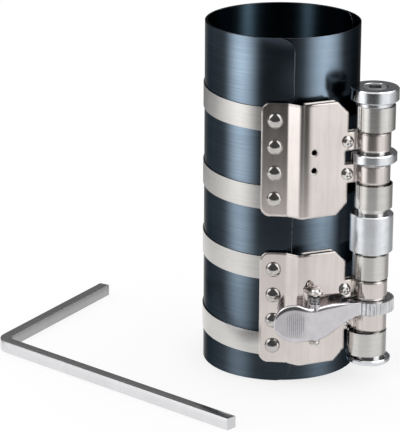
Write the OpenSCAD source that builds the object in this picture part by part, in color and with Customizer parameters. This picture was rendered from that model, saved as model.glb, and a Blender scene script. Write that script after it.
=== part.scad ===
// Piston ring compressor: a rolled spring-steel sleeve drawn closed by four
// steel bands that wind on a ratchet spindle, with a loose square key beside it.

/* [Sleeve] */
// Inside diameter of the sleeve as it stands
bore_d = 63.9; // [56:0.1:76]
// Height of the sleeve
sleeve_h = 150; // [130:1:180]
// Thickness of the rolled sheet
sheet_t = 0.5; // [0.4:0.05:0.7]
// Slack between the two layers of the sheet
layer_gap = 0.1; // [0.08:0.01:0.2]
// Radius of the rounded corners of the sheet
sheet_corner = 6; // [3:0.5:9]

/* [Bands] */
// Width of each band
band_w = 10; // [8:0.25:10.5]
// Thickness of each band
band_t = 0.4; // [0.3:0.05:0.5]
// Slack between a band and the sleeve
band_slack = 0.05; // [0.03:0.01:0.15]
// Distance of a band from the middle of its plate
band_off = 17; // [16.5:0.1:18]
// Tilt of the bands round the sleeve, in degrees
band_tilt = 3.9; // [0:0.1:5]
// Slack between the loose outer turn and the wound coil
loop_slack = 0.25; // [0.2:0.05:0.4]

/* [Clamp plates] */
// Height of the lower plate's middle above the base
lower_z = 33.5; // [30:0.5:38]
// Spacing of the two plates
plate_pitch = 65; // [60:0.5:72]
// Height of each plate
plate_h = 49; // [47:0.5:53]
// Thickness of the plate metal
plate_t = 1; // [0.8:0.1:1.2]
// Open space between the folded sheets
sheet_gap = 2.4; // [2:0.1:3]
// Half width of the flange that is riveted to the sleeve
flange_half = 5.8; // [5:0.1:6.5]
// Height of one spindle loop
loop_h = 8; // [6.5:0.25:8.25]
// Clear height between the two loops of a plate
loop_gap = 6; // [5.5:0.1:6.5]

/* [Spindle] */
// Diameter of the spindle shaft
shaft_d = 12.6; // [11.5:0.1:13.2]
// Running clearance of the shaft in a loop
run_gap = 0.05; // [0.03:0.01:0.1]
// Diameter over the ratchet teeth
gear_d = 20.7; // [20:0.1:21.5]
// Depth of a ratchet tooth
tooth_depth = 0.55; // [0.45:0.05:0.6]
// Diameter of the guide ring
ring_d = 20.1; // [18:0.1:21]
// Diameter of the top cap
cap_d = 20.6; // [18:0.1:22]
// Diameter of the neck under the top cap
hub_d = 16.4; // [14.5:0.1:17]
// Diameter of the bottom cap
foot_d = 18.6; // [16:0.1:20]
// Diameter of the spacer sleeve
spacer_d = 18.3; // [16:0.1:20]
// Side of the square drive hole
drive_side = 5.2; // [5.1:0.05:5.6]

/* [Pawl] */
// Thickness of the thumb lever
lever_t = 2.2; // [1.8:0.1:2.6]
// Length of the thumb lever to the left of its pivot
pad_l = 17.5; // [16:0.5:20]
// Height of the lever's pad
pad_h = 16.6; // [14:0.2:18]
// Distance of the pivot in front of the plate
pivot_out = 5.17; // [5:0.01:6]
// Diameter of the pivot pin
pin_d = 2.4; // [2:0.1:2.8]

/* [Key] */
// Side of the square key bar
key_side = 5; // [4.6:0.05:5.05]
// Length of the key's long arm
key_long = 135; // [110:1:150]
// Length of the key's short arm
key_short = 84; // [60:1:95]

/* [Hidden] */
$fn = 96;
fit = 0.03;
gap = 0.05;
// Step by which one stretch of a bent strip enters the next
seam = 0.02;

// Sleeve radii and the angles where the sheet starts and ends
in_r = bore_d / 2;
out_ri = in_r + sheet_t + layer_gap;
out_r = out_ri + sheet_t;
edge_in = 20;
edge_out = 277;
ramp_n = 36;

// Band radii
band_ri = out_r + band_slack;
band_mid = band_ri + band_t / 2;
band_ro = band_ri + band_t;

// Plate levels and directions, with x along the sheet and y to its back
upper_z = lower_z + plate_pitch;
plate_a = 24;
flange_a = -96;
fold_a = flange_a - plate_a;
flange_r = band_ro + 0.1 + plate_t / 2;
sleeve_clear = 1.1;
sheet_back = out_r + sleeve_clear;
sheet_front = sheet_back + 2 * plate_t + sheet_gap;
bend_s = -8.75;
sheet_end = 12.25;
screw_s = 12.1;
screw_z = loop_gap / 2 + loop_h / 2;
rivet_s = -3.25;
rivet_z = 3.9;

// Spindle axis, behind which the front sheet lies by one millimetre
spin_n = sheet_front + 0.97;
spin_s = 23.66;
spin = turned([spin_s, -spin_n], plate_a);
shaft_r = shaft_d / 2;
loop_ri = shaft_r + run_gap;
loop_ro = loop_ri + plate_t;

// Wound coil of nearly one turn inside one loose outer turn, which leans off the axis
coil_r = shaft_r + gap;
coil_max = coil_r + band_t + gap;
coil_turn = 340;
tail_step = 0.5;
function turn_in(lean) = coil_max + loop_slack + norm(lean);
function turn_far(lean) = norm(spin + lean);
function reach(lean) = band_mid + turn_in(lean) + band_t / 2;
function leave(lean) = atan2(spin[1] + lean[1], spin[0] + lean[0]) + acos(reach(lean) / turn_far(lean));
function span(lean) = sqrt(turn_far(lean) * turn_far(lean) - reach(lean) * reach(lean));

// Levels along the spindle
coil_half = band_w / 2;
gear_t = loop_gap - 0.8;
ring_t = loop_gap - 1.8;
foot_top = lower_z - band_off - coil_half - 1.7;
foot_t = 2.2;
spacer_lo = lower_z + band_off + coil_half + 1.6;
spacer_hi = upper_z - band_off - coil_half - 2.8;
hub_lo = upper_z + band_off + coil_half + 0.4;
cap_lo = hub_lo + 1.9;
cap_t = 5.5;
cap_hi = cap_lo + cap_t;
shaft_lo = foot_top - foot_t - 0.8;
shaft_hi = cap_hi - 2.6;
plug_r = 5;
plug_lo = cap_hi - 14.5;
drive_deep = 12;

// Ratchet and pawl, the pawl's end resting in one tooth gap
teeth = 36;
pitch_a = 360 / teeth;
gear_r = gear_d / 2;
root_r = gear_r - tooth_depth;
pawl_a = -124;
pivot_s = bend_s + 4.5;
pivot = turned([pivot_s, -(sheet_front + pivot_out)], plate_a);
tip = spin + (root_r + 0.15) * ahead(pawl_a);
arm = (tip - pivot) / norm(tip - pivot);
arm_h = atan2(arm[1], arm[0]);
arm_n = [arm[1], -arm[0]];
pad_n = [0, -1];
bend_mid = pivot - 5.3 * arm + lever_t / 2 * (arm_n + pad_n) / (1 + arm_n * pad_n);
lever_bend = 16;
bend_c = bend_mid + lever_bend * [-tan(arm_h / 2), 1];
pad_x = pivot[0] - pad_l;
pin_r = pin_d / 2;
boss_r = pin_r + 0.95;
ear_t = 1.1;
ear_r = 3.2;
ear_hi = lower_z + 9;
ear_lo = lower_z - 12.9;
base_y = -(sheet_front + gap);

// Key on the ground beside the sleeve
key_at = [-121.5, 3];
key_a = -42;
key_open = 102;
key_bend = 6;
key_cut = key_bend / tan(key_open / 2);

function turned(p, a) = [p[0] * cos(a) - p[1] * sin(a), p[0] * sin(a) + p[1] * cos(a)];
function left_of(a) = [-sin(a), cos(a)];
function ahead(a) = [cos(a), sin(a)];

// Outline of a bent strip from the points of its middle line and their headings
function strip_plan(p, h, t) = concat([for (i = [0 : len(p) - 1]) p[i] + t / 2 * left_of(h[i])],
    [for (i = [len(p) - 1 : -1 : 0]) p[i] - t / 2 * left_of(h[i])]);

// Part of a flat ring, standing on the ground plane
module ring_part(ri, t, h, a0, a1) {
    rotate([0, 0, a0]) rotate_extrude(angle = a1 - a0) translate([ri, 0]) square([t, h]);
}

// Rounded corner removed from a sheet end, x out, y along the sheet to its end at zero
module corner_off(x0, x1, r) {
    difference() {
        translate([x0, -r, -r]) cube([x1 - x0, r + 1, r + 1]);
        translate([x0 - 1, -r, -r]) rotate([0, 90, 0]) cylinder(r = 1.01 * r, h = x1 - x0 + 2);
    }
}

// Both rounded corners of an end, way is 1 where the sheet lies below the angle
module end_corners(a, way, x0, x1, h, r) {
    rotate([0, 0, a]) mirror([0, way > 0 ? 0 : 1, 0]) {
        translate([0, 0, h]) corner_off(x0, x1, r);
        mirror([0, 0, 1]) corner_off(x0, x1, r);
    }
}

// Rivet places on the flange of a plate
module at_rivet(z) {
    rotate([0, 0, flange_a]) translate([0, 0, z]) rotate([0, 90, 0]) children();
}

// Ramp of the sheet from the inner layer to the outer one, entering each by a degree
function ramp_a(i) = edge_out - 1 + (362 + edge_in - edge_out) * i / ramp_n;
function ease(f) = f * f * (3 - 2 * f);
function part_way(a) = min(1, max(0, (a - edge_out) / (360 + edge_in - edge_out)));
function ramp_r(i) = in_r + seam + (out_ri - in_r) * ease(part_way(ramp_a(i)));

module sleeve() {
    color([0.07, 0.09, 0.12]) {
        difference() {
            ring_part(in_r, sheet_t, sleeve_h, edge_in, edge_out);
            end_corners(edge_in, -1, in_r - 3, in_r + 3, sleeve_h, sheet_corner);
        }
        translate([0, 0, seam]) linear_extrude(sleeve_h - 2 * seam) polygon(concat(
            [for (i = [0 : ramp_n]) ramp_r(i) * ahead(ramp_a(i))],
            [for (i = [ramp_n : -1 : 0]) (ramp_r(i) + sheet_t - 2 * seam) * ahead(ramp_a(i))]));
        difference() {
            ring_part(out_ri, sheet_t, sleeve_h, edge_in, edge_out);
            end_corners(edge_out, 1, out_ri - 3, out_ri + 3, sleeve_h, sheet_corner);
            for (z = [upper_z, lower_z], k = [-1, -1 / 3, 1 / 3, 1])
                at_rivet(z + k * band_off) cylinder(r = 1.5 + gap, h = 60);
        }
    }
}

// One band: round the sleeve on a slant, across to the spindle and once loosely round the coil
module band(z, lean) {
    a0 = leave(lean);
    inside = turn_in(lean);
    held = band_mid * ahead(flange_a);
    hinge = band_mid * ahead(a0) + span(lean) * ahead(a0 - 90) - held;
    turn_w = band_w + 0.3;
    color([0.72, 0.70, 0.67]) difference() {
        union() {
            intersection() {
                translate([0, 0, z - band_w]) {
                    ring_part(band_ri, band_t, 2 * band_w, a0, 271);
                    translate(band_mid * ahead(a0)) rotate([0, 0, a0 - 90])
                        translate([-0.8, seam - band_t / 2, seam])
                            cube([span(lean) + 1.2, band_t - 2 * seam, 2 * band_w - 2 * seam]);
                }
                translate([held[0], held[1], z]) rotate(a = band_tilt, v = [hinge[0], hinge[1], 0])
                    translate([-100, -100, -band_w / 2]) cube([200, 200, band_w]);
            }
            translate([0, 0, z - turn_w / 2]) translate(spin + lean) {
                ring_part(inside, band_t, turn_w, a0 - 180, 90);
                translate([0, tail_step, seam]) ring_part(inside - tail_step + seam,
                    band_t - 2 * seam, turn_w - 2 * seam, 87, 150);
            }
        }
        at_rivet(z) cylinder(r = 1.5 + gap, h = 60);
    }
}
module band_one() band(upper_z + band_off, [0.75, 0.2]);
module band_two() band(upper_z - band_off, [0.5, 0.3]);
module band_three() band(lower_z + band_off, [-0.1, 0.3]);
module band_four() band(lower_z - band_off, [-1.2, 0.4]);

// Middle line of the folded front sheet, each entry a point and its heading
flange_h = fold_a + 90;
jog_h = -58;
bend_r = 2.4;
c_pt = [bend_s, -(sheet_front - plate_t / 2)];
b_off = (c_pt * ahead(fold_a) - flange_r) / (ahead(jog_h) * ahead(fold_a));
b_pt = c_pt - b_off * ahead(jog_h);
a_pt = flange_r * ahead(fold_a) - flange_half * ahead(flange_h);
b_cut = bend_r * tan((flange_h - jog_h) / 2);
c_cut = bend_r * tan(-jog_h / 2);
b_mid = b_pt - b_cut * ahead(flange_h) - bend_r * left_of(flange_h);
c_mid = c_pt - c_cut * ahead(jog_h) + bend_r * left_of(jog_h);
b_turn = [for (i = [0 : 8]) flange_h + (jog_h - flange_h) * i / 8];
c_turn = [for (i = [0 : 14]) jog_h * (1 - i / 14)];
line_p = concat([a_pt], [for (h = b_turn) b_mid + bend_r * left_of(h)],
    [for (h = c_turn) c_mid - bend_r * left_of(h)], [[sheet_end, c_pt[1]]]);
line_h = concat([flange_h], b_turn, c_turn, [0]);

// One folded clamp plate with its two spindle loops
module plate(z) {
    color([0.80, 0.77, 0.74]) difference() {
        rotate([0, 0, plate_a]) translate([0, 0, z]) difference() {
            union() {
                translate([0, 0, -plate_h / 2]) linear_extrude(plate_h) polygon(strip_plan(line_p, line_h, plate_t));
                translate([bend_s + 2, -sheet_back - plate_t, -plate_h / 2])
                    cube([sheet_end - bend_s - 2, plate_t, plate_h]);
                for (side = [0, 1]) mirror([0, 0, side]) translate([0, 0, loop_gap / 2]) {
                    translate([spin_s, -spin_n, 0]) cylinder(r = loop_ro, h = loop_h);
                    translate([sheet_end - 0.5, -sheet_front, 0])
                        cube([spin_s - 4.8 - sheet_end + 0.5, plate_t, loop_h]);
                    translate([sheet_end - 0.5, -sheet_back - plate_t, 0])
                        cube([spin_s - 4.8 - sheet_end + 0.5, plate_t, loop_h]);
                }
            }
            // Shaft bore and the opening of each loop towards the sheets
            translate([spin_s, -spin_n, -plate_h]) cylinder(r = loop_ri, h = 2 * plate_h);
            translate([sheet_end - 1, -sheet_back - plate_t - sheet_gap, -plate_h])
                cube([spin_s - sheet_end - 3, sheet_gap, 2 * plate_h]);
            // Notch in the right edge and the two cut corners
            translate([sheet_end - 1.2, -sheet_front - 1, -loop_gap / 2])
                cube([3, plate_t + 2, loop_gap]);
            for (side = [0, 1]) mirror([0, 0, side]) {
                translate([0, -sheet_back + 2, 0]) rotate([90, 0, 0]) linear_extrude(12)
                    polygon([[sheet_end - 5, plate_h / 2 + 1], [sheet_end - 5, plate_h / 2],
                        [sheet_end, plate_h / 2 - 5], [sheet_end + 1, plate_h / 2 - 5],
                        [sheet_end + 1, plate_h / 2 + 1]]);
                rotate([0, 0, fold_a]) translate([0, -flange_half, plate_h / 2]) mirror([0, 1, 0])
                    corner_off(flange_r - 2, flange_r + 2, 4);
                translate([screw_s, -sheet_back + 1, screw_z]) rotate([90, 0, 0])
                    cylinder(r = 1.45 + gap, h = 12);
                translate([rivet_s, -sheet_front + plate_t + 0.5, rivet_z]) rotate([90, 0, 0])
                    cylinder(r = 1.2 + gap, h = 3);
            }
        }
        for (k = [-1, -1 / 3, 1 / 3, 1]) at_rivet(z + k * band_off) cylinder(r = 1.5 + gap, h = 60);
    }
}
module upper_plate() plate(upper_z);
module lower_plate() plate(lower_z);

// Four domed rivets of a plate, their flush ends in the sleeve's outer layer
dome_r = 3.3;
dome_h = 1.9;
ball_r = (dome_r * dome_r + dome_h * dome_h) / (2 * dome_h);
dome_at = flange_r + plate_t / 2 + 0.02;
module rivets(z) {
    color([0.82, 0.79, 0.76]) for (k = [-1, -1 / 3, 1 / 3, 1]) at_rivet(z + k * band_off) {
        intersection() {
            translate([0, 0, dome_at + dome_h - ball_r]) sphere(r = ball_r);
            translate([-9, -9, dome_at]) cube([18, 18, 9]);
        }
        translate([0, 0, out_ri + 0.05]) cylinder(r = 1.5, h = dome_at - out_ri + 0.3);
    }
}
module upper_rivets() rivets(upper_z);
module lower_rivets() rivets(lower_z);

// Places of the two loop screws of a plate, z pointing to the front
module at_screw(z) {
    rotate([0, 0, plate_a]) for (side = [-1, 1])
        translate([screw_s, 0, z + side * screw_z]) rotate([90, 0, 0]) children();
}
module screws(z) {
    color([0.80, 0.80, 0.80]) at_screw(z) difference() {
        union() {
            translate([0, 0, sheet_front + 0.02]) cylinder(r1 = 2.65, r2 = 2.45, h = 0.8);
            translate([0, 0, sheet_front + 0.82]) cylinder(r1 = 2.45, r2 = 1.5, h = 0.7);
            translate([0, 0, sheet_back - 1.2]) cylinder(r = 1.45, h = sheet_front - sheet_back + 1.5);
        }
        for (a = [45, 135]) translate([0, 0, sheet_front + 0.9]) rotate([0, 0, a])
            translate([-1.3, -0.35, 0]) cube([2.6, 0.7, 2]);
    }
}
module upper_screws() screws(upper_z);
module lower_screws() screws(lower_z);

module nuts(z) {
    color([0.74, 0.74, 0.73]) at_screw(z) translate([0, 0, sheet_back - 1.2]) difference() {
        cylinder(r = 2.5, h = 1.17, $fn = 6);
        translate([0, 0, -1]) cylinder(r = 1.45 + fit, h = 4);
    }
}
module upper_nuts() nuts(upper_z);
module lower_nuts() nuts(lower_z);

// Shaft with a blind bore at the top for the drive plug
module spindle_shaft() {
    color([0.78, 0.77, 0.76]) translate(spin) difference() {
        translate([0, 0, shaft_lo]) cylinder(r = shaft_r, h = shaft_hi - shaft_lo);
        translate([0, 0, plug_lo - 0.05]) cylinder(r = plug_r + fit, h = cap_hi);
    }
}
module drive_plug() {
    color([0.30, 0.30, 0.32]) translate(spin) difference() {
        translate([0, 0, plug_lo]) cylinder(r = plug_r, h = cap_hi - plug_lo);
        translate([-drive_side / 2, -drive_side / 2, cap_hi - drive_deep])
            cube([drive_side, drive_side, drive_deep + 1]);
    }
}
module top_cap() {
    r = cap_d / 2;
    color([0.75, 0.76, 0.78]) translate(spin) rotate_extrude()
        polygon([[shaft_r + fit, hub_lo], [hub_d / 2, hub_lo], [hub_d / 2, cap_lo], [r - 0.4, cap_lo],
            [r, cap_lo + 0.4], [r, cap_hi - 0.5], [r - 0.5, cap_hi], [plug_r + 0.7, cap_hi],
            [plug_r + 0.3, cap_hi - 0.6], [plug_r + fit, cap_hi - 0.6], [plug_r + fit, shaft_hi + fit],
            [shaft_r + fit, shaft_hi + fit]]);
}
module foot_cap() {
    r = foot_d / 2;
    color([0.80, 0.80, 0.80]) translate(spin) rotate_extrude()
        polygon([[shaft_r + fit, foot_top - foot_t], [r - 0.5, foot_top - foot_t],
            [r, foot_top - foot_t + 0.5], [r, foot_top - 0.5], [r - 0.5, foot_top], [shaft_r + fit, foot_top]]);
}
module guide_ring() {
    r = ring_d / 2;
    color([0.80, 0.80, 0.81]) translate([spin[0], spin[1], upper_z - ring_t / 2]) rotate_extrude()
        polygon([[shaft_r + fit, 0], [r - 0.5, 0], [r, 0.5], [r, ring_t - 0.5], [r - 0.5, ring_t],
            [shaft_r + fit, ring_t]]);
}
module ratchet_gear() {
    color([0.80, 0.82, 0.85]) translate([spin[0], spin[1], lower_z - gear_t / 2]) difference() {
        linear_extrude(gear_t) polygon([for (k = [0 : teeth - 1], e = [0 : 2])
            (e == 0 ? root_r : gear_r) * ahead(pawl_a + pitch_a * (k + [0, 0.4, 0.6][e]))]);
        translate([0, 0, -1]) cylinder(r = shaft_r + fit, h = gear_t + 2);
    }
}
module spacer_sleeve() {
    r = spacer_d / 2;
    h = spacer_hi - spacer_lo;
    color([0.84, 0.86, 0.89]) translate([spin[0], spin[1], spacer_lo]) rotate_extrude()
        polygon([[shaft_r + fit, 0], [r - 0.4, 0], [r, 0.4], [r, h - 0.4], [r - 0.4, h], [shaft_r + fit, h]]);
}

// Wound coil of one band
module coil(z) {
    color([0.70, 0.68, 0.65]) translate([spin[0], spin[1], z - band_w / 2])
        ring_part(coil_r, band_t, band_w, 0, coil_turn);
}
module coil_one() coil(upper_z + band_off);
module coil_two() coil(upper_z - band_off);
module coil_three() coil(lower_z + band_off);
module coil_four() coil(lower_z - band_off);

// Folded bracket on the lower plate with two ears for the pivot pin
module pawl_bracket() {
    y_pin = -(sheet_front + pivot_out);
    color([0.78, 0.76, 0.74]) rotate([0, 0, plate_a]) difference() {
        union() {
            translate([pivot_s - ear_r, base_y - 1, ear_lo])
                cube([2 * ear_r + 1.2, 1, ear_hi + ear_t - ear_lo]);
            for (ear = [[ear_lo, boss_r], [ear_hi, ear_r]]) {
                translate([pivot_s - ear[1], y_pin, ear[0]]) cube([2 * ear[1], base_y - y_pin, ear_t]);
                translate([pivot_s, y_pin, ear[0]]) cylinder(r = ear[1], h = ear_t);
            }
        }
        translate([pivot_s, y_pin, ear_lo - 1]) cylinder(r = pin_r + fit, h = 40);
        for (side = [-1, 1]) translate([rivet_s, base_y + 1, lower_z + side * rivet_z])
            rotate([90, 0, 0]) cylinder(r = 1.2 + gap, h = 4);
    }
}
module bracket_rivets() {
    color([0.80, 0.78, 0.76]) rotate([0, 0, plate_a]) for (side = [-1, 1])
        translate([rivet_s, base_y - 1 - 0.02, lower_z + side * rivet_z]) rotate([90, 0, 0]) {
            cylinder(r1 = 2.1, r2 = 1.3, h = 0.8);
            translate([0, 0, -2.2]) cylinder(r = 1.2, h = 2.3);
            translate([0, 0, -2.8]) cylinder(r = 1.9, h = 0.67);
        }
}
module pawl_pin() {
    color([0.82, 0.82, 0.82]) translate(pivot) {
        translate([0, 0, ear_lo - 0.5]) cylinder(r = pin_r, h = ear_hi + ear_t - ear_lo + 1);
        translate([0, 0, ear_hi + ear_t + 0.02]) cylinder(r1 = 2.2, r2 = 1.6, h = 0.9);
        translate([0, 0, ear_lo - 0.92]) cylinder(r1 = 1.6, r2 = 2.2, h = 0.9);
    }
}

// Torsion spring round the pin, one leg on the bracket and one behind the lever
module pawl_spring() {
    z0 = lower_z + 4.9;
    color([0.62, 0.62, 0.63]) translate(pivot) {
        for (i = [0 : 4]) translate([0, 0, z0 + 0.7 * i]) rotate_extrude()
            translate([pin_r + 0.65, 0]) circle(r = 0.4);
    }
}

// Thumb lever: bent strip cut to an oval pad, a neck and a narrow end, with a pivot barrel
lever_top = lower_z + 4.5;
lever_turn = [for (i = [0 : 10]) arm_h * i / 10];
lever_p = concat([[pad_x, bend_mid[1]]],
    [for (h = lever_turn) bend_c - lever_bend * left_of(h)], [tip + lever_t / 2 * arm_n]);
lever_h = concat([0], lever_turn, [arm_h]);

// Edges of the lever seen from the front, as levels at distances from its left end
pad_half = pad_l / 2 + 0.25;
pad_mid = -3.4;
neck = pad_l - 1;
waist = pad_l + 1.5;
tip_at = pad_l + 18.5;
over_edge = [[pad_half, pad_mid + pad_h / 2], [neck, 3], [neck + 8.5, 3.9], [tip_at + 2, 3]];
under_edge = [[pad_half, pad_mid - pad_h / 2], [waist, 0.4 + pad_mid - pad_h / 2], [tip_at, -2.6],
    [tip_at + 2, -2.6]];
function run(k) = [for (i = [0 : len(k) - 2], j = [0 : 6]) let (f = ease(j / 6))
    [k[i][0] + (k[i + 1][0] - k[i][0]) * j / 6, k[i][1] + (k[i + 1][1] - k[i][1]) * f]];
function back_run(p) = [for (i = [len(p) - 1 : -1 : 0]) p[i]];
module lever_face() {
    translate([pad_x, 0, lower_z]) rotate([90, 0, 0]) translate([0, 0, 20]) linear_extrude(50)
        polygon(concat([for (i = [1 : 15]) [pad_half, pad_mid]
            + [pad_half * cos(90 + 12 * i - 6), pad_h / 2 * sin(90 + 12 * i - 6)]],
            run(under_edge), back_run(run(over_edge))));
}

// Grip ribs on the front of the pad, each as far out as the face is there
ribs = 9;
rib_pitch = 0.85;
rib_w = 0.4;
rib_out = 0.2;
function front_y(x) = let (r = lever_bend + lever_t / 2)
    bend_c[1] - sqrt(r * r - pow(max(0, x - bend_c[0]), 2));
module grip_ribs() {
    for (i = [0 : ribs - 1]) {
        x = pad_x + pad_half - 3 + rib_pitch * i;
        h = 0.68 * pad_h * sqrt(1 - pow((i - (ribs - 1) / 2) / ribs, 2));
        translate([x, front_y(x) - rib_out, lower_z + pad_mid - h / 2]) cube([rib_w, 2 * rib_out, h]);
    }
}
module pawl_lever() {
    color([0.66, 0.65, 0.68]) difference() {
        union() {
            intersection() {
                translate([0, 0, lower_z - 16]) linear_extrude(30)
                    polygon(strip_plan(lever_p, lever_h, lever_t));
                lever_face();
            }
            grip_ribs();
            translate([pivot[0], pivot[1], ear_lo + ear_t + 0.3])
                cylinder(r = boss_r, h = lever_top - ear_lo - ear_t - 0.3);
        }
        translate([pivot[0], pivot[1], ear_lo]) cylinder(r = pin_r + run_gap, h = 40);
    }
}

// Loose square key, two arms and a bend
module square_key() {
    color([0.78, 0.79, 0.80]) translate(key_at) rotate([0, 0, key_a]) {
        translate([key_cut, -key_side / 2, 0]) cube([key_long - key_cut, key_side, key_side]);
        rotate([0, 0, key_open]) translate([key_cut, -key_side / 2, 0])
            cube([key_short - key_cut, key_side, key_side]);
        translate([key_cut, key_bend, seam]) ring_part(key_bend - key_side / 2 + seam,
            key_side - 2 * seam, key_side - 2 * seam, key_open - 273, -87);
    }
}

sleeve();
band_one();
band_two();
band_three();
band_four();
upper_plate();
lower_plate();
upper_rivets();
lower_rivets();
upper_screws();
lower_screws();
upper_nuts();
lower_nuts();
spindle_shaft();
drive_plug();
top_cap();
foot_cap();
guide_ring();
ratchet_gear();
spacer_sleeve();
coil_one();
coil_two();
coil_three();
coil_four();
pawl_bracket();
bracket_rivets();
pawl_pin();
pawl_spring();
pawl_lever();
square_key();
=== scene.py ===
import bpy
import bmesh
import math
from mathutils import Matrix, Vector


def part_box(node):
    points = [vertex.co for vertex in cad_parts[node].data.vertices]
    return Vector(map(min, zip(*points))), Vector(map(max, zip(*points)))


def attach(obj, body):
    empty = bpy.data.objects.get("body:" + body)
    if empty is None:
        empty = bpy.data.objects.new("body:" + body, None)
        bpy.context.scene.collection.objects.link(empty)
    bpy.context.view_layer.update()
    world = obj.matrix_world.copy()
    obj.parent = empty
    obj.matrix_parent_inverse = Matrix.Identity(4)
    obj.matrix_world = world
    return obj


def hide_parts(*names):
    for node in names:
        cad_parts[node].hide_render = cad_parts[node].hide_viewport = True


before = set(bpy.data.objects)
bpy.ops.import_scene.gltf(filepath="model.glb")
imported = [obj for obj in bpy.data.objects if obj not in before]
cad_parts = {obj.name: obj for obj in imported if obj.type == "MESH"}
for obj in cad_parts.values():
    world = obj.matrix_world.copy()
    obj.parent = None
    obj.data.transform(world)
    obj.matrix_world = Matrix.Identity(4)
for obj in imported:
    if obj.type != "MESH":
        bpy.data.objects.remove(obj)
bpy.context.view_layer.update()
mm = 0.001
scene = bpy.context.scene
scene.view_settings.view_transform = "Standard"
print("frame loaded:", len(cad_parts), "CAD nodes")


# a socket of a node tree, so that sums of values are written as plain Python
class Flow:
    def __init__(self, tree, socket=None):
        self.tree = tree
        self.socket = socket

    # any node: its type, its settings first, then the values or links of its sockets
    def add(self, kind, settings=None, sockets=None, out=0):
        node = self.tree.nodes.new(kind)
        for name, value in (settings or {}).items():
            if name == "stops":
                ramp = node.color_ramp
                while len(ramp.elements) < len(value):
                    ramp.elements.new(0.5)
                for stop, (place, colour) in zip(ramp.elements, value):
                    stop.position = place
                    stop.color = colour
            else:
                setattr(node, name, value)
        for key, value in (sockets or {}).items():
            if isinstance(value, Flow):
                self.tree.links.new(value.socket, node.inputs[key])
            else:
                node.inputs[key].default_value = value
        return Flow(self.tree, node.outputs[out] if len(node.outputs) else None)

    # another output of the same node
    def out(self, name):
        return Flow(self.tree, self.socket.node.outputs[name])

    def sum(self, operation, *values):
        return self.add("ShaderNodeMath", {"operation": operation}, dict(enumerate(values)))

    def __add__(self, other):
        return self.sum("ADD", self, other)

    def __sub__(self, other):
        return self.sum("SUBTRACT", self, other)

    def __rsub__(self, other):
        return self.sum("SUBTRACT", other, self)

    def __mul__(self, other):
        return self.sum("MULTIPLY", self, other)

    def __truediv__(self, other):
        return self.sum("DIVIDE", self, other)

    __radd__ = __add__
    __rmul__ = __mul__

    def cos(self):
        return self.sum("COSINE", self)

    def sin(self):
        return self.sum("SINE", self)

    def root(self):
        return self.sum("SQRT", self)

    # nothing below zero
    def positive(self):
        return self.sum("MAXIMUM", self, 0.0)

    # smooth rise from 0 at low to 1 at high
    def rise(self, low, high):
        return self.add("ShaderNodeMapRange", {"interpolation_type": "SMOOTHSTEP"},
                        {"Value": self, "From Min": low, "From Max": high})

    # a vector put together from its parts
    def vector(self, **parts):
        return self.add("ShaderNodeCombineXYZ", None, parts)

    # the three parts of a vector
    def split(self, vector):
        x = self.add("ShaderNodeSeparateXYZ", None, {"Vector": vector})
        return x, x.out("Y"), x.out("Z")

    def dot(self, first, second):
        return self.add("ShaderNodeVectorMath", {"operation": "DOT_PRODUCT"},
                        {0: first, 1: second}, "Value")

    # two colours mixed by a factor: a Mix node has them in sockets 6 and 7 and the result in output 2
    def blend(self, factor, first, second):
        return self.add("ShaderNodeMix", {"data_type": "RGBA"}, {"Factor": factor, 6: first, 7: second}, 2)


# camera of the photograph
cameraView = {
    "place": (-29.69 * mm, -1072.33 * mm, 407.59 * mm),
    "pitch": 0.3110,
    "yaw": -0.0047,
    "roll": 0.0048,
    "lens": 217.37,
}


def setCamera(view):
    pitch, yaw, roll = view["pitch"], view["yaw"], view["roll"]
    ahead = Vector((math.sin(yaw) * math.cos(pitch), math.cos(yaw) * math.cos(pitch), -math.sin(pitch)))
    side = Vector((math.cos(yaw), -math.sin(yaw), 0.0))
    over = side.cross(ahead)
    right = math.cos(roll) * side + math.sin(roll) * over
    up = -math.sin(roll) * side + math.cos(roll) * over
    data = bpy.data.cameras.new("photoCamera")
    data.lens = view["lens"]
    data.sensor_width = 36.0
    data.clip_start = 0.05
    data.clip_end = 30.0
    data.dof.use_dof = False
    camera = bpy.data.objects.new("photoCamera", data)
    turn = Matrix((right, up, -ahead)).transposed().to_4x4()
    camera.matrix_world = Matrix.Translation(view["place"]) @ turn
    scene.collection.objects.link(camera)
    scene.camera = camera


setCamera(cameraView)
print("camera set")

# studio that the metal sees: a pale table up to its far edge, levels round about by compass angle, and two
# bright sheets that lean together above; angles in degrees, the tent's places as parts of a ray's direction
studio = {
    "round": [
        (-180, 0.25), (-150, 0.28), (-134, 0.36), (-115, 0.50), (-100, 0.80), (-87, 1.10), (-75, 1.35),
        (-64, 1.55), (-54, 1.30), (-46, 0.75), (-36, 0.12), (-25, 0.04), (-12, 0.03), (0, 0.03), (12, 0.12),
        (24, 0.65), (36, 1.05), (52, 1.05), (64, 1.10), (80, 0.80), (97, 0.60), (120, 0.25), (150, 0.15),
        (180, 0.25),
    ],
    "peak": 1.6,
    "table": 0.93,
    "tableEnd": -17.55,
    "endSoft": 1.2,
    "tableRight": 0.48,
    "rightFrom": (86, 116),
    "rightTo": (145, 175),
    "aboveBack": 0.13,
    "aboveFront": 0.085,
    "aboveFrom": (-13, -5),
    "frontFrom": (-0.5, 0.6),
    "tent": 1.65,
    "tentMiddle": -0.10,
    "tentKnee": 0.20,
    "tentLean": 0.68,
    "tentFoot": (0.76, 0.92),
    "tentBack": (0.05, 0.35),
    "tentBackLean": 0.6,
    "fill": 0.75,
}


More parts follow.
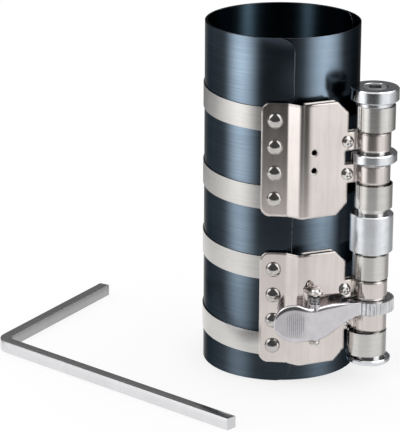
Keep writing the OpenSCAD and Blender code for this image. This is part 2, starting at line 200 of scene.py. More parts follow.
def setWorld(look):
    world = bpy.data.worlds.new("studio")
    scene.world = world
    world.use_nodes = True
    world.cycles.sampling_method = "NONE"
    tree = world.node_tree
    tree.nodes.clear()
    start = Flow(tree)
    ray = start.add("ShaderNodeTexCoord", out="Generated")
    x, y, z = start.split(ray)
    front = y * -1.0
    compass = x.sum("ARCTAN2", x, front) * math.degrees(1)
    height = z.sum("ARCSINE", z) * math.degrees(1)
    stops = [(angle / 360 + 0.5, (value / look["peak"],) * 3 + (1,)) for angle, value in look["round"]]
    around = start.add("ShaderNodeValToRGB", {"stops": stops}, {"Fac": compass / 360 + 0.5})
    level = around.add("ShaderNodeRGBToBW", None, {"Color": around}) * look["peak"]
    facing = front.rise(*look["frontFrom"])
    upper = facing * (look["aboveFront"] - look["aboveBack"]) + look["aboveBack"]
    lean = (z - look["tentKnee"]).positive() * look["tentLean"]
    tent = (x.sum("ABSOLUTE", x - look["tentMiddle"]) + lean).rise(*look["tentFoot"])
    tent = tent * (z * look["tentBackLean"] + front).rise(*look["tentBack"])
    upper = upper + tent * look["tent"]
    level = level + (upper - level) * height.rise(*look["aboveFrom"])
    low = 1 - height.rise(look["tableEnd"] - look["endSoft"], look["tableEnd"] + look["endSoft"])
    right = compass.rise(*look["rightFrom"]) - compass.rise(*look["rightTo"])
    table = look["table"] + (look["tableRight"] - look["table"]) * right
    level = level + (table - level) * low
    path = start.add("ShaderNodeLightPath", out="Is Camera Ray")
    seen = path.sum("MAXIMUM", path, path.out("Is Transmission Ray"))
    level = look["fill"] + (level - look["fill"]) * path.out("Is Glossy Ray")
    level = level + (1 - level) * seen
    back = start.add("ShaderNodeBackground", None, {"Color": (1, 1, 1, 1), "Strength": level})
    start.add("ShaderNodeOutputWorld", None, {"Surface": back})


setWorld(studio)


# a group of pieces that a lamp takes alone or leaves out
def gather(name, pieces, state="INCLUDE"):
    group = bpy.data.collections.new(name)
    for piece in pieces:
        group.objects.link(piece)
    for item in group.collection_objects:
        item.light_linking.link_state = state
    return group


# soft strips that draw the long highlights on the dark sleeve alone, three outside and two for its mouth
sleeveStrips = {
    "leftStrip": {"compass": -64, "away": 1.2, "wide": 1.47, "low": -0.62, "high": -0.06, "level": 14.0},
    "rightStrip": {"compass": 63, "away": 1.2, "wide": 1.84, "low": -0.62, "high": -0.06, "level": 11.5},
    "leftEdge": {"compass": -138, "away": 1.2, "wide": 1.90, "low": -0.62, "high": -0.06, "level": 0.8},
    "leftMouth": {"compass": -60, "away": 0.029, "wide": 0.020, "low": 0.060, "high": 0.148, "level": 2.2},
    "rightMouth": {"compass": 85, "away": 0.029, "wide": 0.024, "low": 0.060, "high": 0.148, "level": 3.2},
}
stripFade = (0.12, 0.95)  # parts of a strip's height between which its light rises


# a strip stands upright, away from its axis by compass angle, and faces it
def hangStrip(name, look, lit, axis=(0.0, 0.0)):
    data = bpy.data.lights.new(name, "AREA")
    data.shape = "RECTANGLE"
    data.size = look["wide"]
    data.size_y = look["high"] - look["low"]
    data.energy = look["level"] * math.pi * data.size * data.size_y
    data.use_nodes = True
    tree = data.node_tree
    tree.nodes.clear()
    start = Flow(tree)
    across, along, _ = start.split(start.add("ShaderNodeNewGeometry", out="Parametric"))
    bell = (1 - across.sum("ABSOLUTE", across * 2.0 - 1.0)).rise(0.0, 1.0)
    glow = start.add("ShaderNodeEmission", None, {"Strength": bell * along.rise(*stripFade)})
    start.add("ShaderNodeOutputLight", None, {"Surface": glow})
    lamp = bpy.data.objects.new(name, data)
    turn = math.radians(look["compass"])
    centre = Vector((*axis, (look["high"] + look["low"]) / 2))
    lamp.location = centre + look["away"] * Vector((math.sin(turn), -math.cos(turn), 0))
    aim = centre - lamp.location
    lamp.rotation_euler = aim.to_track_quat("-Z", "Y").to_euler()
    lamp.visible_camera = False
    lamp.light_linking.receiver_collection = lit
    scene.collection.objects.link(lamp)
    return lamp


# a soft strip beside the spindle that lights the left edge of its drums alone
drumStrip = {"compass": -86, "away": 0.0130, "wide": 0.016, "low": 0.0, "high": 0.130, "level": 1.6}
drumPieces = [
    "band_one", "band_two", "band_three", "coil_one", "coil_two", "coil_three", "spindle_shaft",
    "spacer_sleeve",
]


def lightDrums(look, pieces):
    low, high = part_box("spindle_shaft")
    axis = ((low[0] + high[0]) / 2, (low[1] + high[1]) / 2)
    hangStrip("drumStrip", look, gather("drums", [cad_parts[node] for node in pieces]), axis)


lightDrums(drumStrip, drumPieces)

# lid: a pale sheet overhead that every surface sees but those left out
lidLook = {"high": 2.0, "wide": 5.0, "level": 0.95}


def hangLid(look, leftOut):
    data = bpy.data.lights.new("lid", "AREA")
    data.size = look["wide"]
    data.energy = look["level"] * math.pi * look["wide"] ** 2
    lamp = bpy.data.objects.new("lid", data)
    lamp.location = (0, 0, look["high"])
    lamp.visible_camera = False
    lamp.visible_diffuse = False
    lamp.light_linking.receiver_collection = leftOut
    scene.collection.objects.link(lamp)


# floor, pale, which keeps a soft shadow; it lies a hair below the part
floorLook = {"reach": 4.0, "below": 0.02 * mm, "glow": 0.70, "paper": 0.42}


def layFloor(look):
    reach = look["reach"]
    mesh = bpy.data.meshes.new("floor")
    corners = [(-reach, -reach), (reach, -reach), (reach, reach), (-reach, reach)]
    mesh.from_pydata([(x, y, -look["below"]) for x, y in corners], [], [(0, 1, 2, 3)])
    floor = bpy.data.objects.new("floor", mesh)
    scene.collection.objects.link(floor)
    material = bpy.data.materials.new("paleFloor")
    material.use_nodes = True
    tree = material.node_tree
    tree.nodes.clear()
    start = Flow(tree)
    glow = start.add("ShaderNodeEmission", None, {"Color": (1, 1, 1, 1), "Strength": look["glow"]})
    paper = (look["paper"],) * 3 + (1,)
    matt = start.add("ShaderNodeBsdfDiffuse", None, {"Color": paper})
    both = start.add("ShaderNodeAddShader", None, {0: glow, 1: matt})
    start.add("ShaderNodeOutputMaterial", None, {"Surface": both})
    mesh.materials.append(material)
    floor.visible_glossy = False
    floor.visible_shadow = False


layFloor(floorLook)
print("studio and floor set")

# what all finishes share: noise detail, where tone and the brighter edges set in (partly rubbed bare,
# partly a painted highlight), shares of lines, cloud and specks
finishBase = {
    "lineDetail": 4.0, "lineRough": 0.62, "cloudDetail": 3.0, "speckScale": 1400.0, "speckDetail": 1.0,
    "toneFrom": (0.30, 0.70), "wearAndSheenFrom": (0.01, 0.22), "wearAndSheenCloud": 0.45, "bump": 0.6, "edgeSamples": 6,
    "roughLines": 0.5, "roughCloud": 0.3, "roughSpecks": 0.2, "reliefLines": 0.7, "reliefSpecks": 0.3,
}

# finishes: grain is the noise scale per metre along x, y and z, relief and round are in millimetres; edge
# is the colour painted on edges and bends, partly rubbed-bare metal and partly a painted highlight
finishes = {
    "bluedSheet": {
        # the pale edge colour paints a bright highlight line along the sheet's edges, with some rubbed-bare
        # metal
        "dark": (0.025, 0.033, 0.042), "light": (0.039, 0.0515, 0.064), "edge": (0.46, 0.48, 0.50),
        "grain": (25, 25, 2600), "cloud": 38, "cloudy": 0.45, "rough": (0.14, 0.26), "relief": 0.008,
        "round": 0.10, "wearAndSheen": 0.9, "graze": (0.42, 0.42, 0.42),
    },
    "bluedInside": {
        "dark": (0.020, 0.034, 0.046), "light": (0.030, 0.050, 0.066), "edge": (0.46, 0.48, 0.50),
        "grain": (25, 25, 2600), "cloud": 38, "cloudy": 0.45, "rough": (0.16, 0.28), "relief": 0.008,
        "round": 0.10, "wearAndSheen": 0.5, "graze": (0.42, 0.42, 0.42),
    },
    "bandSteel": {
        "dark": (0.57, 0.555, 0.535), "light": (0.68, 0.665, 0.645), "edge": (0.84, 0.82, 0.80),
        "grain": (40, 40, 2200), "cloud": 60, "cloudy": 0.55, "rough": (0.12, 0.22), "relief": 0.003,
        "round": 0.12, "wearAndSheen": 0.8,
    },
    "platedSheet": {
        "dark": (0.62, 0.565, 0.54), "light": (0.73, 0.675, 0.645), "edge": (0.92, 0.89, 0.87),
        "grain": (500, 500, 40), "cloud": 55, "cloudy": 0.60, "rough": (0.06, 0.14), "relief": 0.002,
        "round": 1.30, "wearAndSheen": 0.5,
        "valley": {"along": 24, "from": -8.75, "hollows": [(1.0, 27), (2.6, 5)], "face": -37.9},
    },
    "rivetSteel": {
        "dark": (0.50, 0.48, 0.465), "light": (0.60, 0.58, 0.565), "edge": (0.66, 0.64, 0.62),
        "grain": (300, 300, 300), "cloud": 150, "cloudy": 0.35, "rough": (0.10, 0.16), "relief": 0.001,
        "round": 0.10, "wearAndSheen": 0.4,
    },
    "brightSteel": {
        "dark": (0.62, 0.60, 0.58), "light": (0.78, 0.77, 0.75), "edge": (0.92, 0.92, 0.91),
        "grain": (60, 60, 1600), "cloud": 90, "cloudy": 0.35, "rough": (0.12, 0.22), "relief": 0.004,
        "round": 0.15, "wearAndSheen": 0.6,
    },
    "satinZinc": {
        "dark": (0.66, 0.68, 0.71), "light": (0.80, 0.82, 0.85), "edge": (0.92, 0.94, 0.95),
        "grain": (160, 160, 160), "cloud": 120, "cloudy": 0.30, "rough": (0.18, 0.26), "relief": 0.002,
        "round": 0.22, "wearAndSheen": 0.7,
    },
    "capSteel": {
        "dark": (0.66, 0.68, 0.71), "light": (0.78, 0.80, 0.83), "edge": (0.92, 0.94, 0.95),
        "grain": (160, 160, 160), "cloud": 120, "cloudy": 0.30, "rough": (0.08, 0.15), "relief": 0.001,
        "round": 0.22, "wearAndSheen": 0.7,
    },
    "gearSteel": {
        "dark": (0.56, 0.57, 0.58), "light": (0.76, 0.77, 0.79), "edge": (0.94, 0.95, 0.96),
        "grain": (300, 300, 300), "cloud": 200, "cloudy": 0.40, "rough": (0.09, 0.16), "relief": 0.002,
        "round": 0.08, "wearAndSheen": 0.9,
    },
    "leverCasting": {
        "dark": (0.57, 0.55, 0.58), "light": (0.65, 0.625, 0.655), "edge": (0.90, 0.89, 0.90),
        "grain": (260, 260, 260), "cloud": 140, "cloudy": 0.35, "rough": (0.16, 0.24), "relief": 0.003,
        "round": 0.10, "wearAndSheen": 0.5,
    },
    "gripCasting": {
        "dark": (0.42, 0.405, 0.43), "light": (0.50, 0.485, 0.51), "edge": (0.66, 0.65, 0.66),
        "grain": (260, 260, 260), "cloud": 140, "cloudy": 0.35, "rough": (0.22, 0.30), "relief": 0.002,
        "round": 0.05, "wearAndSheen": 0.3,
    },
    "darkSteel": {
        "dark": (0.16, 0.16, 0.17), "light": (0.30, 0.30, 0.31), "edge": (0.62, 0.62, 0.63),
        "grain": (300, 300, 300), "cloud": 180, "cloudy": 0.40, "rough": (0.24, 0.40), "relief": 0.006,
        "round": 0.12, "wearAndSheen": 0.8,
    },
    "plugSteel": {
        "dark": (0.26, 0.26, 0.27), "light": (0.40, 0.40, 0.41), "edge": (0.86, 0.86, 0.86),
        "grain": (600, 600, 600), "cloud": 260, "cloudy": 0.35, "rough": (0.42, 0.58), "relief": 0.010,
        "round": 0.20, "wearAndSheen": 0.8,
    },
    "keySteel": {
        "dark": (0.74, 0.74, 0.755), "light": (0.80, 0.80, 0.815), "edge": (0.94, 0.94, 0.94),
        "grain": (120, 120, 120), "cloud": 40, "cloudy": 0.40, "rough": (0.17, 0.25), "relief": 0.001,
        "round": 0.25, "wearAndSheen": 0.8,
    },
}


# the soft hollow that the press leaves where a plate's raised step ends, as a height in metres;
# each hollow has its width in millimetres and its steepest tilt in degrees
def pressedValley(start, place, look):
    turn = math.radians(look["along"])
    along = start.dot(place, (math.cos(turn), math.sin(turn), 0))
    across = start.dot(place, (-math.sin(turn), math.cos(turn), 0))
    past = (along - look["from"] * mm).positive()
    depth = 0.0
    for wide, tilt in look["hollows"]:
        reach = wide * mm
        steep = math.e * math.tan(math.radians(tilt))
        depth = (past + reach) * past.sum("EXPONENT", past * (-1 / reach)) * steep + depth
    front = across.sum("LESS_THAN", across, look["face"] * mm)
    return depth * front * -1.0


def makeFinish(name, look, base):
    material = bpy.data.materials.new(name)
    material.use_nodes = True
    tree = material.node_tree
    tree.nodes.clear()
    start = Flow(tree)
    place = start.add("ShaderNodeTexCoord", out="Object")
    along = start.add("ShaderNodeMapping", None, {"Vector": place, "Scale": look["grain"]})
    lines = start.add("ShaderNodeTexNoise", None, {
        "Vector": along, "Scale": 1.0, "Detail": base["lineDetail"], "Roughness": base["lineRough"]})
    cloud = start.add("ShaderNodeTexNoise", None, {
        "Vector": place, "Scale": look["cloud"], "Detail": base["cloudDetail"]})
    specks = start.add("ShaderNodeTexNoise", None, {
        "Vector": place, "Scale": base["speckScale"], "Detail": base["speckDetail"]})
    tone = lines * (1 - look["cloudy"]) + cloud * look["cloudy"]
    body = start.blend(tone.rise(*base["toneFrom"]), look["dark"] + (1,), look["light"] + (1,))
    # edges, rounded for the light, are painted brighter in patches: partly rubbed bare, partly a painted
    # highlight along edges and bends
    soft = start.add("ShaderNodeBevel", {"samples": base["edgeSamples"]}, {"Radius": look["round"] * mm})
    bend = 1 - start.dot(soft, start.add("ShaderNodeNewGeometry", out="Normal"))
    patchy = 1 - base["wearAndSheenCloud"] + base["wearAndSheenCloud"] * cloud
    wornAndSheen = bend.rise(*base["wearAndSheenFrom"]) * patchy * look["wearAndSheen"]
    skin = start.blend(wornAndSheen, body, look["edge"] + (1,))
    low, high = look["rough"]
    uneven = lines * base["roughLines"] + cloud * base["roughCloud"] + specks * base["roughSpecks"]
    relief = lines * base["reliefLines"] + specks * base["reliefSpecks"]
    normal = start.add("ShaderNodeBump", None, {
        "Strength": base["bump"], "Distance": look["relief"] * mm, "Height": relief, "Normal": soft})
    if "valley" in look:
        valley = pressedValley(start, place, look["valley"])
        normal = start.add("ShaderNodeBump", None, {
            "Strength": 1.0, "Distance": 1.0, "Height": valley, "Normal": normal})
    shader = start.add("ShaderNodeBsdfPrincipled", None, {
        "Base Color": skin, "Metallic": 1.0, "Roughness": low + (high - low) * uneven,
        "Specular Tint": look.get("graze", (1, 1, 1)) + (1,), "Normal": normal})
    start.add("ShaderNodeOutputMaterial", None, {"Surface": shader})
    return material


finish = {name: makeFinish(name, look, finishBase) for name, look in finishes.items()}
print("finishes made:", len(finish))


# a Geometry Nodes tree with named sizes
def openTree(name, sizes):
    tree = bpy.data.node_groups.new(name, "GeometryNodeTree")
    tree.interface.new_socket("Geometry", in_out="OUTPUT", socket_type="NodeSocketGeometry")
    for label, value in sizes.items():
        kind = "NodeSocketInt" if isinstance(value, int) else "NodeSocketFloat"
        tree.interface.new_socket(label, in_out="INPUT", socket_type=kind)
    entry = tree.nodes.new("NodeGroupInput")
    return Flow(tree), {label: Flow(tree, entry.outputs[label]) for label in sizes}


def closeTree(start, shape, material):
    real = start.add("GeometryNodeRealizeInstances", None, {"Geometry": shape})
    done = start.add("GeometryNodeSetMaterial", None, {"Geometry": real, "Material": material})
    start.add("NodeGroupOutput", None, {"Geometry": done})


# runs a tree for one piece and keeps the result as a plain mesh
def growPiece(name, start, sizes, sheet=0.0):
    piece = bpy.data.objects.new(name, bpy.data.meshes.new(name + "Seed"))
    scene.collection.objects.link(piece)
    grow = piece.modifiers.new("grow", "NODES")
    grow.node_group = start.tree
    for item in start.tree.interface.items_tree:
        if item.in_out == "INPUT":
            grow[item.identifier] = sizes[item.name]
    if sheet:
        wall = piece.modifiers.new("wall", "SOLIDIFY")
        wall.thickness = sheet
        wall.offset = 0.0
    mesh = bpy.data.meshes.new_from_object(piece.evaluated_get(bpy.context.evaluated_depsgraph_get()))
    piece.modifiers.clear()
    piece.data = mesh
    mesh.name = name
    return piece


# smooth shading with the real edges kept sharp
def smoothFaces(mesh, edge):
    for face in mesh.polygons:
        face.use_smooth = True
    mesh.set_sharp_from_angle(angle=math.radians(edge))


def settle(piece, body, slotName, *nodes, edge=35):
    smoothFaces(piece.data, edge)
    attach(piece, body)
    if nodes:
        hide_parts(*nodes)


# a flat net of points, with its two coordinates from 0 to 1
def unitNet(start, columns, rows):
    net = start.add("GeometryNodeMeshGrid", None, {
        "Size X": 1.0, "Size Y": 1.0, "Vertices X": columns, "Vertices Y": rows})
    x, y, _ = start.split(start.add("GeometryNodeInputPosition"))
    return net, x + 0.5, y + 0.5


# rolled sleeve: one sheet that passes from the inner layer to the outer one
sleeveSizes = {
    "Inner radius": 31.95 * mm, "Sheet": 0.5 * mm, "Layer gap": 0.1 * mm, "Height": 150.0 * mm,
    "Corner": 6.0 * mm, "First edge": math.radians(20), "Last edge": math.radians(277),
    "Columns": 421, "Rows": 61, "Lift": 0.60 * mm, "Lift arc": math.radians(26),
    "Lift from": 124.0 * mm, "Lift to": 144.0 * mm,
}


def rollSleeve(sizes):
    start, size = openTree("rolledSleeve", sizes)
    net, u, v = unitNet(start, size["Columns"], size["Rows"])
    # rows lie closer together near the rims, where the corners are round
    z = size["Height"] * (0.5 - 0.5 * (v * math.pi).cos())
    rim = z.sum("MINIMUM", z, size["Height"] - z)
    short = (size["Corner"] - rim).positive()
    arc = (size["Corner"] * size["Corner"] - short * short).positive()
    inset = size["Corner"] - arc.root()
    inner = size["Inner radius"] + size["Sheet"] * 0.5
    outer = inner + size["Sheet"] + size["Layer gap"]
    first = size["First edge"] + inset / inner
    last = size["Last edge"] + 2 * math.pi - inset / outer
    turn = first + (last - first) * u
    radius = start.add("ShaderNodeMapRange", {"interpolation_type": "SMOOTHSTEP"}, {
        "Value": turn, "From Min": size["Last edge"], "From Max": size["First edge"] + 2 * math.pi,
        "To Min": inner, "To Max": outer})
    # the free end of the outer layer stands off a little above the top band
    free = (1 - (last - turn) / size["Lift arc"]).positive()
    radius = radius + size["Lift"] * free * free * z.rise(size["Lift from"], size["Lift to"])
    point = start.vector(X=radius * turn.cos(), Y=radius * turn.sin(), Z=z)
    sheet = start.add("GeometryNodeSetPosition", None, {"Geometry": net, "Position": point})
    closeTree(start, sheet, finish["bluedSheet"])
    piece = growPiece("rolledSleeve", start, sizes, sizes["Sheet"])
    settle(piece, "clamp", "blued_sheet", "sleeve")
    piece.data.materials.append(finish["bluedInside"])
    inside = len(piece.data.materials) - 1
    for face in piece.data.polygons:
        if face.normal.x * face.center.x + face.normal.y * face.center.y < 0:
            face.material_index = inside
    return piece


# pieces that would hide the right strip from the sleeve between the plates
clearPieces = ["spacer_sleeve", "band_three", "coil_three", "spindle_shaft", "lower_plate"]
clearView = gather("clearView", [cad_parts[node] for node in clearPieces], "EXCLUDE")
darkSleeve = gather("darkSleeve", [rollSleeve(sleeveSizes)])
strips = {name: hangStrip(name, look, darkSleeve) for name, look in sleeveStrips.items()}
strips["rightStrip"].light_linking.blocker_collection = clearView
print("sleeve rolled")

# domed rivets of the two plates: foot is the share of a head's rows that closes it from below
rivetSizes = {
    "Count": 4, "Spacing": 34.0 / 3 * mm, "Lowest": 0.0, "Out": 34.60 * mm, "Compass": math.radians(-96),
    "Head radius": 3.3 * mm, "Head height": 1.95 * mm, "Round": 40, "Rings": 15, "Foot": 0.14,
}
pointGap = 0.002 * mm  # points of a head that lie closer than this become one


def rivetTree(sizes):
    start, size = openTree("domedRivets", sizes)
    net, u, v = unitNet(start, size["Round"] + 1, size["Rings"])
    turn = u * (2 * math.pi)
    foot = v.sum("MINIMUM", v / size["Foot"], 1.0)
    dome = (v - size["Foot"]).positive() * (math.pi / 2) / (1 - size["Foot"])
    reach = size["Head radius"] * foot * dome.cos()
    level = size["Head height"] * dome.sin()
    point = start.vector(X=reach * turn.cos(), Y=reach * turn.sin(), Z=level)
    head = start.add("GeometryNodeSetPosition", None, {"Geometry": net, "Position": point})
    head = start.add("GeometryNodeMergeByDistance", None, {"Geometry": head, "Distance": pointGap})
    row = start.add("GeometryNodeMeshLine", None, {
        "Count": size["Count"], "Start Location": start.vector(X=size["Out"], Z=size["Lowest"]),
        "Offset": start.vector(Z=size["Spacing"])})
    heads = start.add("GeometryNodeInstanceOnPoints", None, {
        "Points": row, "Instance": head, "Rotation": (0, math.pi / 2, 0)})
    heads = start.add("GeometryNodeTransform", None, {
        "Geometry": heads, "Rotation": start.vector(Z=size["Compass"])})
    closeTree(start, heads, finish["rivetSteel"])
    return start


rivets = rivetTree(rivetSizes)
lidless = []
for level in ("upper", "lower"):
    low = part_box(level + "_rivets")[0][2] + rivetSizes["Head radius"]
    piece = growPiece(level + "RivetHeads", rivets, dict(rivetSizes, Lowest=low))
    settle(piece, "clamp", "plated_sheet", level + "_rivets")
    lidless += [piece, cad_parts[level + "_plate"]]
hangLid(lidLook, gather("lidless", lidless, "EXCLUDE"))
print("rivets set")


# two geometries as one
def joined(start, first, second):
    both = start.add("GeometryNodeJoinGeometry", None, {0: first})
    start.tree.links.new(second.socket, both.socket.node.inputs[0])
    return both


# square key: a rounded square bar along a bent path
keySizes = {
    "Side": 5.0 * mm, "Edge": 0.20 * mm, "Long": 135.0 * mm, "Short": 84.0 * mm, "Bend": 6.0 * mm,
    "Open": math.radians(102), "Turn": math.radians(-42), "Corner x": -121.5 * mm, "Corner y": 3.0 * mm,
    "Bend steps": 16, "Edge steps": 5, "Point gap": 0.01 * mm,
}


def bendKey(sizes):
    start, size = openTree("squareKey", sizes)
    corner, longEnd = start.vector(), start.vector(X=size["Long"])
    shortEnd = start.vector(X=size["Short"] * size["Open"].cos(), Y=size["Short"] * size["Open"].sin())
    longArm = start.add("GeometryNodeCurvePrimitiveLine", None, {"Start": longEnd, "End": corner})
    shortArm = start.add("GeometryNodeCurvePrimitiveLine", None, {"Start": corner, "End": shortEnd})
    arms = start.add("GeometryNodeCurveToMesh", None, {"Curve": joined(start, longArm, shortArm)})
    arms = start.add("GeometryNodeMergeByDistance", None, {"Geometry": arms, "Distance": size["Point gap"]})
    path = start.add("GeometryNodeMeshToCurve", None, {"Mesh": arms})
    path = start.add("GeometryNodeFilletCurve", {"mode": "POLY"}, {
        "Curve": path, "Radius": size["Bend"], "Count": size["Bend steps"]})
    path = start.add("GeometryNodeSetCurveNormal", {"mode": "Z_UP"}, {"Curve": path})
    bar = start.add("GeometryNodeCurvePrimitiveQuadrilateral", None, {
        "Width": size["Side"], "Height": size["Side"]})
    bar = start.add("GeometryNodeFilletCurve", {"mode": "POLY"}, {
        "Curve": bar, "Radius": size["Edge"], "Count": size["Edge steps"]})
    key = start.add("GeometryNodeCurveToMesh", None, {
        "Curve": path, "Profile Curve": bar, "Fill Caps": True})
    place = start.vector(X=size["Corner x"], Y=size["Corner y"], Z=size["Side"] * 0.5)
    key = start.add("GeometryNodeTransform", None, {
        "Geometry": key, "Translation": place, "Rotation": start.vector(Z=size["Turn"])})
    closeTree(start, key, finish["keySteel"])
    piece = growPiece("squareKeyBar", start, sizes)
    settle(piece, "key", "bright_steel", "square_key", edge=10)


bendKey(keySizes)
print("key bent")

# thumb lever: rounded sections lofted along a bent line, with a pivot barrel; all in millimetres
leverShape = {
    "left": -3.60, "level": 33.5, "thick": 2.2, "edge": 1.05, "tipEdge": 0.15, "edgeReach": 1.9,
    "flatEdge": 0.25, "edgeSteps": 6, "tipFrom": 24, "tipOver": 10,
    "padHalf": 9.0, "padLevel": -3.4, "padHeight": 8.3, "endAt": 36.116,
    "over": [(9.0, 4.9), (16.5, 3.0), (25.0, 3.9), (38.0, 3.0)],
    "under": [(9.0, -11.7), (19.0, -11.3), (36.0, -2.6), (38.0, -2.6)],
    "bendCentre": (6.206, -28.655), "bend": 16.0, "turn": math.radians(20.847),
    "pivot": (13.900, -41.669), "barrel": 2.15, "bore": 1.25, "barrelLow": 22.0, "barrelHigh": 38.0,
    "borePast": 5, "rodSides": 48, "padStep": 3, "armSteps": 60, "pointGap": 0.001,
}


def smoothStep(at):
    at = min(max(at, 0.0), 1.0)
    return at * at * (3 - 2 * at)


# height of an edge of the lever, eased from one named place to the next
def edgeHeight(places, at):
    for (fromAt, fromHeight), (toAt, toHeight) in zip(places, places[1:]):
        if at <= toAt:
            return fromHeight + (toHeight - fromHeight) * smoothStep((at - fromAt) / (toAt - fromAt))
    return places[-1][1]


# middle line of the lever in plan: a flat pad, a bend and a straight arm
def leverLine(shape, x):
    centreX, centreY = shape["bendCentre"]
    radius, turn = shape["bend"], shape["turn"]
    past = (x - centreX) / radius
    heading = math.asin(min(max(past, 0.0), math.sin(turn)))
    rest = max(x - centreX - radius * math.sin(turn), 0.0)
    return centreY - radius * math.cos(heading) + rest * math.tan(turn), heading


# one section, at a place along the lever: elliptical edges with flat faces held between them
def leverSection(shape, at):
    half, level, tall = shape["padHalf"], shape["padLevel"], shape["padHeight"]
    if at < half:
        oval = tall * math.sqrt(max(1 - ((half - at) / half) ** 2, 0.0))
        top, bottom = level + oval, level - oval
    else:
        top, bottom = edgeHeight(shape["over"], at), edgeHeight(shape["under"], at)
    thin = smoothStep((at - shape["tipFrom"]) / shape["tipOver"])
    edge = shape["edge"] + (shape["tipEdge"] - shape["edge"]) * thin
    reach = min(edge * shape["edgeReach"], (top - bottom) / 2)
    depth = shape["thick"] / 2
    if at < reach:
        depth = depth - edge + edge * math.sqrt(max(1 - (1 - at / reach) ** 2, 0.0))
        edge = min(edge, depth)
    y, heading = leverLine(shape, shape["left"] + at)
    flat = (top - bottom) / 2 - reach
    hold = min(shape["flatEdge"], flat / 2)
    steps = shape["edgeSteps"]
    turns = [math.pi / 2 * step / steps for step in range(steps + 1)]
    outline = []
    for side in (1, -1):
        # over the top and down the back, then round below and up the front
        outline += [(side * (flat + reach * math.cos(turn)), side * (depth - edge + edge * math.sin(turn)))
                    for turn in turns]
        outline += [(side * (flat - hold), side * depth), (side * (hold - flat), side * depth)]
        outline += [(-side * (flat + reach * math.sin(turn)), side * (depth - edge + edge * math.cos(turn)))
                    for turn in turns]
    middle = shape["level"] + (top + bottom) / 2
    return [(shape["left"] + at - back * math.sin(heading), y + back * math.cos(heading), middle + up)
            for up, back in outline]


def solidRod(name, place, radius, low, high, sides):
    rod = bmesh.new()
    bmesh.ops.create_cone(
        rod, cap_ends=True, segments=sides, radius1=radius, radius2=radius, depth=high - low)
    bmesh.ops.translate(rod, verts=rod.verts, vec=(*place, (low + high) / 2))
    bmesh.ops.scale(rod, verts=rod.verts, vec=(mm, mm, mm))
    mesh = bpy.data.meshes.new(name)
    rod.to_mesh(mesh)
    rod.free()
    piece = bpy.data.objects.new(name, mesh)
    scene.collection.objects.link(piece)
    return piece


def loftLever(shape):
    half, angleStep, steps = shape["padHalf"], shape["padStep"], shape["armSteps"]
    stations = [half * (1 - math.cos(math.radians(angle))) for angle in range(angleStep, 90, angleStep)]
    stations += [half + (shape["endAt"] - half) * step / steps for step in range(steps + 1)]
    rings = [leverSection(shape, at) for at in stations]
    count = len(rings[0])
    points = [[value * mm for value in point] for ring in rings for point in ring]
    faces = [list(range(count)), [count * (len(rings) - 1) + step for step in range(count)]]
    for row in range(len(rings) - 1):
        for step in range(count):
            near, far = row * count, row * count + count
            after = (step + 1) % count
            faces.append([near + step, near + after, far + after, far + step])
    mesh = bpy.data.meshes.new("thumbLever")
    mesh.from_pydata(points, [], faces)
    shell = bmesh.new()
    shell.from_mesh(mesh)
    bmesh.ops.remove_doubles(shell, verts=shell.verts, dist=shape["pointGap"] * mm)
    bmesh.ops.recalc_face_normals(shell, faces=shell.faces)
    shell.to_mesh(mesh)
    shell.free()
    lever = bpy.data.objects.new("thumbLever", mesh)
    scene.collection.objects.link(lever)
    low, high, past = shape["barrelLow"], shape["barrelHigh"], shape["borePast"]
    barrel = solidRod("barrel", shape["pivot"], shape["barrel"], low, high, shape["rodSides"])
    bore = solidRod("bore", shape["pivot"], shape["bore"], low - past, high + past, shape["rodSides"])
    for rod, action in ((barrel, "UNION"), (bore, "DIFFERENCE")):
        cut = lever.modifiers.new(rod.name, "BOOLEAN")
        cut.operation = action
        cut.solver = "EXACT"
        cut.object = rod
    done = bpy.data.meshes.new_from_object(lever.evaluated_get(bpy.context.evaluated_depsgraph_get()))
    lever.modifiers.clear()
    lever.data = done
    for rod in (barrel, bore):
        bpy.data.objects.remove(rod)
    done.materials.clear()
    done.materials.append(finish["leverCasting"])
    for face in done.polygons:
        face.material_index = 0
    settle(lever, "pawl", "lever_casting", "pawl_lever")


loftLever(leverShape)

# grip ribs on the lever's pad, each as far out as the face is there; the outer ones are shorter by the bow
gripSizes = {
    "Count": 9, "First": 2.40 * mm, "Pitch": 0.85 * mm, "Wide": 0.46 * mm, "Proud": 0.28 * mm,
    "Length": 11.3 * mm, "Bow": 1.6, "Level": 30.1 * mm, "Centre x": 6.206 * mm, "Centre y": -28.655 * mm,
    "Face radius": 17.1 * mm, "Segments": 16, "Rings": 12,
}


def ribTree(sizes):
    start, size = openTree("gripRibs", sizes)
    row = start.add("GeometryNodeMeshLine", None, {"Count": size["Count"]})
    index = start.add("GeometryNodeInputIndex")
    x = size["First"] + index * size["Pitch"]
    past = (x - size["Centre x"]).positive()
    y = size["Centre y"] - (size["Face radius"] * size["Face radius"] - past * past).root()
    place = start.vector(X=x, Y=y, Z=size["Level"])
    row = start.add("GeometryNodeSetPosition", None, {"Geometry": row, "Position": place})
    bar = start.add("GeometryNodeMeshUVSphere", None, {
        "Segments": size["Segments"], "Rings": size["Rings"], "Radius": 0.5})
    off = (index + 0.5) / size["Count"] - 0.5
    long = size["Length"] * (1 - off * off * size["Bow"])
    stretch = start.vector(X=size["Wide"], Y=size["Proud"] * 2.0, Z=long)
    ribs = start.add("GeometryNodeInstanceOnPoints", None, {
        "Points": row, "Instance": bar, "Scale": stretch})
    closeTree(start, ribs, finish["gripCasting"])
    return start


grip = growPiece("leverGrip", ribTree(gripSizes), gripSizes)
settle(grip, "pawl", "lever_casting")
print("lever lofted")

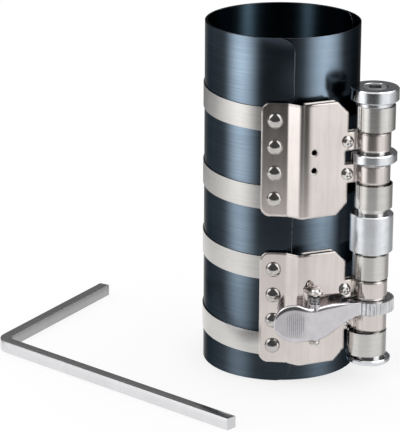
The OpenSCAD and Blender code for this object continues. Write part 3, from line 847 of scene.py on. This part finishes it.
# torsion spring round the pivot pin: a wound wire with one straight leg
springSizes = {
    "Turns": 4.5, "Coil radius": 1.85 * mm, "Wire radius": 0.36 * mm, "Height": 2.9 * mm, "Leg": 3.2 * mm,
    "Foot": 38.45 * mm, "Pivot x": 13.900 * mm, "Pivot y": -41.669 * mm, "Turn": math.radians(150),
    "Coil steps": 28, "Wire sides": 10,
}


def windSpring(sizes):
    start, size = openTree("pawlSpring", sizes)
    coil = start.add("GeometryNodeCurveSpiral", None, {
        "Resolution": size["Coil steps"], "Rotations": size["Turns"], "Start Radius": size["Coil radius"],
        "End Radius": size["Coil radius"], "Height": size["Height"]})
    leg = start.add("GeometryNodeCurvePrimitiveLine", None, {
        "Start": start.vector(X=size["Coil radius"]),
        "End": start.vector(X=size["Coil radius"], Y=size["Leg"] * -1.0)})
    wire = start.add("GeometryNodeCurvePrimitiveCircle", None, {
        "Resolution": size["Wire sides"], "Radius": size["Wire radius"]})
    coil, leg = [start.add("GeometryNodeCurveToMesh", None, {
        "Curve": line, "Profile Curve": wire, "Fill Caps": True}) for line in (coil, leg)]
    place = start.vector(X=size["Pivot x"], Y=size["Pivot y"], Z=size["Foot"])
    turn = start.vector(Z=size["Turn"])
    whole = start.add("GeometryNodeTransform", None, {
        "Geometry": joined(start, coil, leg), "Translation": place, "Rotation": turn})
    closeTree(start, whole, finish["darkSteel"])
    piece = growPiece("pawlSpringWire", start, sizes)
    settle(piece, "pawl", "dark_steel", "pawl_spring")


windSpring(springSizes)
print("spring wound")

# CAD nodes that keep their shape and take a finish
dressed = {
    "bandSteel": ["band_one", "band_two", "band_three", "band_four", "coil_one", "coil_two", "coil_three",
                  "coil_four"],
    "platedSheet": ["upper_plate", "lower_plate", "pawl_bracket"],
    "brightSteel": ["upper_screws", "lower_screws", "upper_nuts", "lower_nuts", "spindle_shaft",
                    "bracket_rivets", "pawl_pin"],
    "satinZinc": ["spacer_sleeve"],
    "capSteel": ["top_cap", "foot_cap", "guide_ring"],
    "gearSteel": ["ratchet_gear"],
    "plugSteel": ["drive_plug"],
}
for look, nodes in dressed.items():
    for node in nodes:
        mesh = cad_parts[node].data
        mesh.materials.clear()
        mesh.materials.append(finish[look])
print("CAD nodes dressed")
